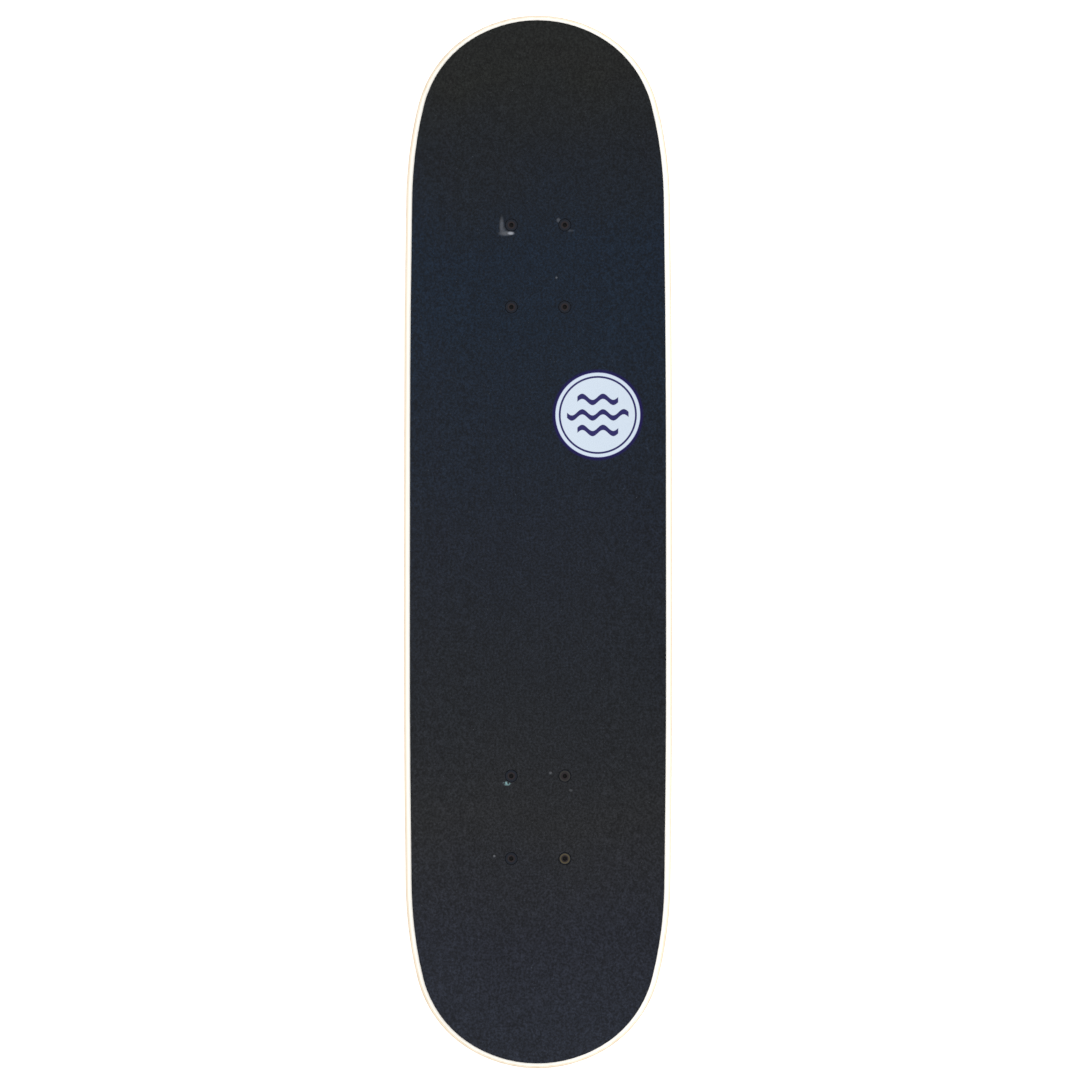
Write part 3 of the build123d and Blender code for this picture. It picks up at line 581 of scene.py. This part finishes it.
finishes = {
    "grip": grip_material(),
    "badge_print": badge_material(),
    "maple_outer": maple("maple_top", PALE_MAPLE, PALE_FIBRE, bolt_gap_shade_and_tape=True),
    "maple_core": maple("maple_core", CORE_MAPLE, CORE_FIBRE),
    "maple_cross": maple("maple_cross", CROSS_MAPLE, CROSS_FIBRE, across=True),
    "black_steel": black_steel(),
    "zinc_steel": zinc_metal(),
    "cast_aluminium": cast_metal(),
    "cup_urethane": moulded("cup_urethane", (0.018, 0.018, 0.020), 0.5),
    "bushing_urethane": urethane("bushing_urethane", BUSHING_RED, DEEP_RED, 0.3, 0.25),
    "axle_steel": ground_steel("axle_steel", (0.60, 0.61, 0.63), 0.34),
    "spacer_aluminium": ground_steel("spacer_aluminium", (0.66, 0.665, 0.68), 0.36),
    "bearing_steel": ground_steel("bearing_steel", (0.70, 0.71, 0.73), 0.24, lines_along_y=False),
    "wheel_urethane": wheel_material(),
    "cage_nylon": moulded("cage_nylon", (0.78, 0.74, 0.62), 0.5),
    "seal_rubber": moulded("seal_rubber", (0.016, 0.016, 0.018), 0.55),
}
lacquered = maple("maple_bottom", FACE_MAPLE, FACE_FIBRE, lacquer=0.55, wear=True)
nylon = moulded("lock_nylon", (0.16, 0.33, 0.62), 0.45)

for part in frame["record"]["subparts"]:
    node = nodes[part["node"]]
    node.data.materials.clear()
    node.data.materials.append(finishes[part["material_slot"]])
nodes["ply_bottom"].data.materials[0] = lacquered


# ------------------------------------------------------------------ softened edges
def soften(name, width, angle=38, segments=2):
    """Joins a node's faces at their edges and rounds its sharp corners a little."""
    node = nodes[name]
    weld = node.modifiers.new("weld", "WELD")
    weld.merge_threshold = 0.002 * MM
    bevel = node.modifiers.new("edges", "BEVEL")
    bevel.width = width
    bevel.segments = segments
    bevel.limit_method = "ANGLE"
    bevel.angle_limit = math.radians(angle)
    bevel.harden_normals = False
    bevel.use_clamp_overlap = True
    bevel.miter_outer = "MITER_ARC"
    smooth = node.modifiers.new("normals", "WEIGHTED_NORMAL")
    smooth.keep_sharp = False
    smooth.weight = 60


for end in ENDS:
    soften(f"baseplate_{end}", 0.55 * MM)
    soften(f"hanger_{end}", 0.55 * MM)
    soften(f"kingpin_nut_{end}", 0.2 * MM)
    soften(f"axle_nuts_{end}", 0.2 * MM)
    soften(f"kingpin_{end}", 0.2 * MM)
soften("mounting_nuts", 0.15 * MM)


# ------------------------------------------------------------------ mesh helpers
def frame_at(origin, axis):
    """A matrix whose Z runs along an axis from an origin."""
    turn = Vector(axis).to_track_quat("Z", "Y").to_matrix().to_4x4()
    return Matrix.Translation(Vector(origin)) @ turn


def piece_from(name, build, material, smooth_angle=35):
    """An object from a bmesh building function, shaded smooth up to an angle."""
    work = bmesh.new()
    build(work)
    bmesh.ops.recalc_face_normals(work, faces=work.faces)
    mesh = bpy.data.meshes.new(name)
    work.to_mesh(mesh)
    work.free()
    mesh.shade_smooth()
    mesh.set_sharp_from_angle(angle=math.radians(smooth_angle))
    mesh.materials.append(material)
    piece = bpy.data.objects.new(name, mesh)
    bpy.context.collection.objects.link(piece)
    return piece


def lathe(work, place, profile, around=72):
    """Adds a closed turned ring from (radius, height) points about a frame's Z."""
    rings = []
    for number in range(around):
        turn = 2 * math.pi * number / around
        cosine, sine = math.cos(turn), math.sin(turn)
        rings.append([work.verts.new(place @ Vector((r * cosine, r * sine, h))) for r, h in profile])
    count = len(profile)
    for number in range(around):
        here, there = rings[number], rings[(number + 1) % around]
        for low in range(count):
            high = (low + 1) % count
            work.faces.new((here[low], there[low], there[high], here[high]))


def thread(work, place, radius, start, end, pitch, depth, around=28):
    """Adds a helical ridge between two heights on a shank, fading at both ends."""
    turns = (end - start) / pitch
    steps = max(8, int(turns * around))
    half = pitch * 0.46
    flat = pitch * 0.08
    foot = radius - 0.15 * MM
    rows = []
    for number in range(steps + 1):
        share = number / steps
        turn = 2 * math.pi * turns * share
        fade = min(1.0, share * turns * 3.0, (1 - share) * turns * 3.0)
        height = start + (end - start) * share
        crest = radius - 0.05 * MM + depth * max(fade, 0.02)
        row = []
        for r, h in ((foot, -half), (crest, -flat), (crest, flat), (foot, half)):
            spot = Vector((r * math.cos(turn), r * math.sin(turn), height + h))
            row.append(work.verts.new(place @ spot))
        rows.append(row)
    for here, there in zip(rows, rows[1:]):
        for low in range(4):
            high = (low + 1) % 4
            work.faces.new((here[low], there[low], there[high], here[high]))
    work.faces.new(rows[0])
    work.faces.new(list(reversed(rows[-1])))


def rounded(points, radius, steps=4):
    """A closed profile with its corners rounded by up to a radius."""
    result = []
    count = len(points)
    for number, point in enumerate(points):
        corner = Vector(point)
        back = Vector(points[number - 1]) - corner
        on = Vector(points[(number + 1) % count]) - corner
        cut = min(radius, back.length * 0.45, on.length * 0.45)
        first, last = corner + back.normalized() * cut, corner + on.normalized() * cut
        for step in range(steps + 1):
            share = step / steps
            one, two = first.lerp(corner, share), corner.lerp(last, share)
            result.append(tuple(one.lerp(two, share)))
    return result


# ------------------------------------------------------------------ bushings
def barrel(low, high, steps=14):
    """The bottom bushing's profile: a barrel with a slight bulge."""
    outside = []
    for step in range(steps + 1):
        share = step / steps
        radius = BUSHING_RADIUS + BARREL_BULGE * math.sin(math.pi * share) ** 0.8
        outside.append((radius, low + (high - low) * (0.06 + 0.88 * share)))
    start = [(BUSHING_RADIUS - 0.6 * MM, low)]
    finish = [(BUSHING_RADIUS - 0.6 * MM, high)]
    inside = [(BUSHING_BORE, high - (high - low) * step / steps) for step in range(steps + 1)]
    return start + outside + finish + inside


def cone(low, high, steps=14):
    """The top bushing's profile: a short cylinder that narrows in a smooth shoulder."""
    outside = []
    for step in range(steps + 1):
        share = step / steps
        narrow = 0.5 - 0.5 * math.cos(math.pi * min(1.0, max(0.0, (share - 0.28) / 0.62)))
        radius = BUSHING_RADIUS + (CONE_RADIUS - BUSHING_RADIUS) * narrow
        outside.append((radius, low + (high - low) * (0.05 + 0.90 * share)))
    start = [(BUSHING_RADIUS - 0.6 * MM, low)]
    finish = [(CONE_RADIUS - 0.5 * MM, high)]
    inside = [(BUSHING_BORE, high - (high - low) * step / steps) for step in range(steps + 1)]
    return start + outside + finish + inside


def make_bushings(end):
    """Both bushings of a truck, turned round its kingpin in place of the hidden CAD bushings."""
    centre, down = kingpin_line(ENDS[end])
    place = frame_at(centre, down)
    rubber = finishes["bushing_urethane"]
    for which, (low, high), profile in (
        ("bottom", BOTTOM_BUSHING, barrel(*BOTTOM_BUSHING)),
        ("top", TOP_BUSHING, cone(*TOP_BUSHING)),
    ):
        piece = piece_from(
            f"bushing_{which}_{end}_soft",
            lambda work: lathe(work, place, profile, 80),
            rubber,
        )
        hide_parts(f"bushing_{which}_{end}")
        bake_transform(piece)


# ------------------------------------------------------------------ threads and nylon rings
def nut_ring_profile(shank, nut_end, gap, width, depth, outer, inner, corner):
    """The section of a lock nut's nylon ring, which stands a little proud of the nut's end."""
    inside, outside = shank + gap, shank + width
    points = [
        (inside, nut_end - depth),
        (outside, nut_end - depth),
        (outside - 0.10 * MM, nut_end + outer),
        (inside, nut_end + inner),
    ]
    return rounded(points, corner)


def make_kingpin_end(end):
    """The kingpin's thread below its nut, and the nut's nylon ring."""
    centre, down = kingpin_line(ENDS[end])
    place = frame_at(centre, down)
    start, stop = KINGPIN_NUT_TOP + 0.1 * MM, KINGPIN_END - 0.95 * MM
    ridge = piece_from(
        f"kingpin_thread_{end}",
        lambda work: thread(work, place, KINGPIN_RADIUS, start, stop, *KINGPIN_THREAD),
        finishes["zinc_steel"],
    )
    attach(ridge, "board")
    ring_profile = nut_ring_profile(
        KINGPIN_RADIUS,
        KINGPIN_NUT_TOP,
        gap=0.06 * MM,
        width=0.95 * MM,
        depth=0.4 * MM,
        outer=0.16 * MM,
        inner=0.10 * MM,
        corner=0.12 * MM,
    )
    ring = piece_from(
        f"kingpin_nut_ring_{end}",
        lambda work: lathe(work, place, ring_profile, 48),
        nylon,
    )
    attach(ring, "board")


def make_axle_ends(end):
    """The axle's threads and the nylon rings in its nuts."""
    ring_profile = nut_ring_profile(
        AXLE_RADIUS,
        0.0,
        gap=0.06 * MM,
        width=0.95 * MM,
        depth=0.4 * MM,
        outer=0.14 * MM,
        inner=0.08 * MM,
        corner=0.12 * MM,
    )

    def threads(work):
        for side in SIDES.values():
            place = frame_at((ENDS[end] * axle_x, 0, axle_z), (0, side, 0))
            thread(work, place, AXLE_RADIUS, AXLE_NUT_TOP, axle_end - 0.35 * MM, *AXLE_THREAD)

    def rings(work):
        for side in SIDES.values():
            place = frame_at((ENDS[end] * axle_x, side * AXLE_NUT_TOP, axle_z), (0, side, 0))
            lathe(work, place, ring_profile, 48)

    ridge = piece_from(f"axle_threads_{end}", threads, finishes["axle_steel"])
    inserts = piece_from(f"axle_nut_rings_{end}", rings, nylon)
    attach(ridge, f"hanger_{end}")
    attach(inserts, f"hanger_{end}")


def make_bolt_ends():
    """The deck bolts' threads below their nuts, and the nuts' nylon rings."""
    nut_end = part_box("mounting_nuts")[0][2]
    ring_profile = nut_ring_profile(
        BOLT_RADIUS,
        0.0,
        gap=0.04 * MM,
        width=0.80 * MM,
        depth=0.3 * MM,
        outer=0.12 * MM,
        inner=0.08 * MM,
        corner=0.1 * MM,
    )
    places = [
        (x, y)
        for x in (bolt_outer_x, bolt_inner_x, -bolt_inner_x, -bolt_outer_x)
        for y in (bolt_y, -bolt_y)
    ]

    def threads(work):
        for x, y in places:
            place = frame_at((x, y, nut_end), (0, 0, -1))
            length = nut_end - bolt_end_z - 0.8 * MM
            thread(work, place, BOLT_RADIUS, 0.1 * MM, length, *BOLT_THREAD, 20)

    def rings(work):
        for x, y in places:
            lathe(work, frame_at((x, y, nut_end), (0, 0, -1)), ring_profile, 36)

    ridge = piece_from("bolt_threads", threads, finishes["black_steel"])
    inserts = piece_from("bolt_nut_rings", rings, nylon)
    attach(ridge, "board")
    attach(inserts, "board")


# ------------------------------------------------------------------ bearing seals
SEAL_INNER = 6.45 * MM
SEAL_OUTER = 9.73 * MM
SEAL_FACE = HALF_BEARING - 0.15 * MM
SEAL_BACK = HALF_BEARING - 0.65 * MM


def make_seals(end, side):
    """The seals of one wheel's two bearings: a dished ring with a raised lip at each edge."""
    outline = rounded(
        [
            (SEAL_INNER, SEAL_BACK),
            (SEAL_OUTER, SEAL_BACK),
            (SEAL_OUTER, SEAL_FACE - 0.05 * MM),
            (SEAL_OUTER - 0.55 * MM, SEAL_FACE),
            (SEAL_OUTER - 0.75 * MM, SEAL_FACE - 0.24 * MM),
            (SEAL_INNER + 1.15 * MM, SEAL_FACE - 0.24 * MM),
            (SEAL_INNER + 0.90 * MM, SEAL_FACE - 0.02 * MM),
            (SEAL_INNER, SEAL_FACE - 0.08 * MM),
        ],
        0.1 * MM,
        3,
    )

    def build(work):
        for offset in (BEARING_OFFSET, -BEARING_OFFSET):
            for way in (1, -1):
                middle = (ENDS[end] * axle_x, SIDES[side] * wheel_y + offset, axle_z)
                lathe(work, frame_at(middle, (0, way, 0)), outline, 64)

    seals = piece_from(f"seals_{end}_{side}", build, finishes["seal_rubber"], 50)
    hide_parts(f"shields_{end}_{side}")
    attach(seals, f"wheel_{end}_{side}")


for end in ENDS:
    make_bushings(end)
    make_kingpin_end(end)
    make_axle_ends(end)
    for side in SIDES:
        make_seals(end, side)
make_bolt_ends()

# ------------------------------------------------------------------ floor, lights, camera
FLOOR_HALF = 6.0
HORIZON = (0.96, 0.96, 0.963, 1.0)
OVERHEAD = (1.0, 1.0, 1.0, 1.0)
LIGHT_TARGET = (0, 0, 0.08)
FRAME_WIDTH = 0.8333
CAMERA_DISTANCE = 2.44
TARGET = Vector((0.0009, -0.0015, 0.0902))
LEAN_TO_TAIL = math.radians(1.2)
LEAN_TO_RIGHT = math.radians(0.8)


def make_floor():
    """A wide pale floor, faintly lit from inside so that it stays white."""
    s = Shader("floor", Roughness=0.9, Emission_Strength=0.45)
    tone = s.between(s.noise(3, 2), 0.0, 0.1)
    s.set("Base Color", s.mix(tone, (0.73, 0.73, 0.73), (0.71, 0.71, 0.71)))
    s.set("Emission Color", (1.0, 1.0, 1.0))
    mesh = bpy.data.meshes.new("floor")
    half = FLOOR_HALF
    corners = [(-half, -half, 0), (half, -half, 0), (half, half, 0), (-half, half, 0)]
    mesh.from_pydata(corners, [], [(0, 1, 2, 3)])
    floor = bpy.data.objects.new("floor", mesh)
    bpy.context.collection.objects.link(floor)
    mesh.materials.append(s.material)


def soft_light(name, place, size, power):
    """A square area light aimed at the board."""
    lamp = bpy.data.lights.new(name, "AREA")
    lamp.shape, lamp.size, lamp.energy = "SQUARE", size, power
    light = bpy.data.objects.new(name, lamp)
    light.location = place
    aim = Vector(LIGHT_TARGET) - Vector(place)
    light.rotation_euler = aim.to_track_quat("-Z", "Y").to_euler()
    bpy.context.collection.objects.link(light)


def make_world():
    """A white studio dome, a little brighter overhead than at the horizon."""
    world = bpy.data.worlds.new("studio")
    world.use_nodes = True
    tree = world.node_tree
    background = tree.nodes["Background"]
    direction = tree.nodes.new("ShaderNodeTexCoord")
    split = tree.nodes.new("ShaderNodeSeparateXYZ")
    ramp = tree.nodes.new("ShaderNodeValToRGB")
    tree.links.new(direction.outputs["Generated"], split.inputs["Vector"])
    tree.links.new(split.outputs["Z"], ramp.inputs["Fac"])
    tree.links.new(ramp.outputs["Color"], background.inputs["Color"])
    ramp.color_ramp.elements[0].color = HORIZON
    ramp.color_ramp.elements[1].color = OVERHEAD
    ramp.color_ramp.elements[1].position = 0.75
    background.inputs["Strength"].default_value = 1.0
    bpy.context.scene.world = world
    bpy.context.scene.view_settings.view_transform = "Standard"


def make_camera():
    """Nearly straight down, nose at the top of the picture."""
    back = Vector((-math.sin(LEAN_TO_TAIL), -math.sin(LEAN_TO_RIGHT), 1.0)).normalized()
    up = (Vector((1, 0, 0)) - back * back.x).normalized()
    right = up.cross(back)
    data = bpy.data.cameras.new("camera")
    data.sensor_width = 36.0
    data.lens = data.sensor_width * CAMERA_DISTANCE / FRAME_WIDTH
    data.clip_end = 50.0
    camera = bpy.data.objects.new("camera", data)
    turn = Matrix((right, up, back)).transposed().to_4x4()
    camera.matrix_world = Matrix.Translation(TARGET + back * CAMERA_DISTANCE) @ turn
    bpy.context.collection.objects.link(camera)
    bpy.context.scene.camera = camera


make_floor()
make_world()
soft_light("key", (0.5, -2.0, 2.4), 1.8, 38)
soft_light("fill", (-0.8, 1.8, 2.4), 2.5, 12)
make_camera()
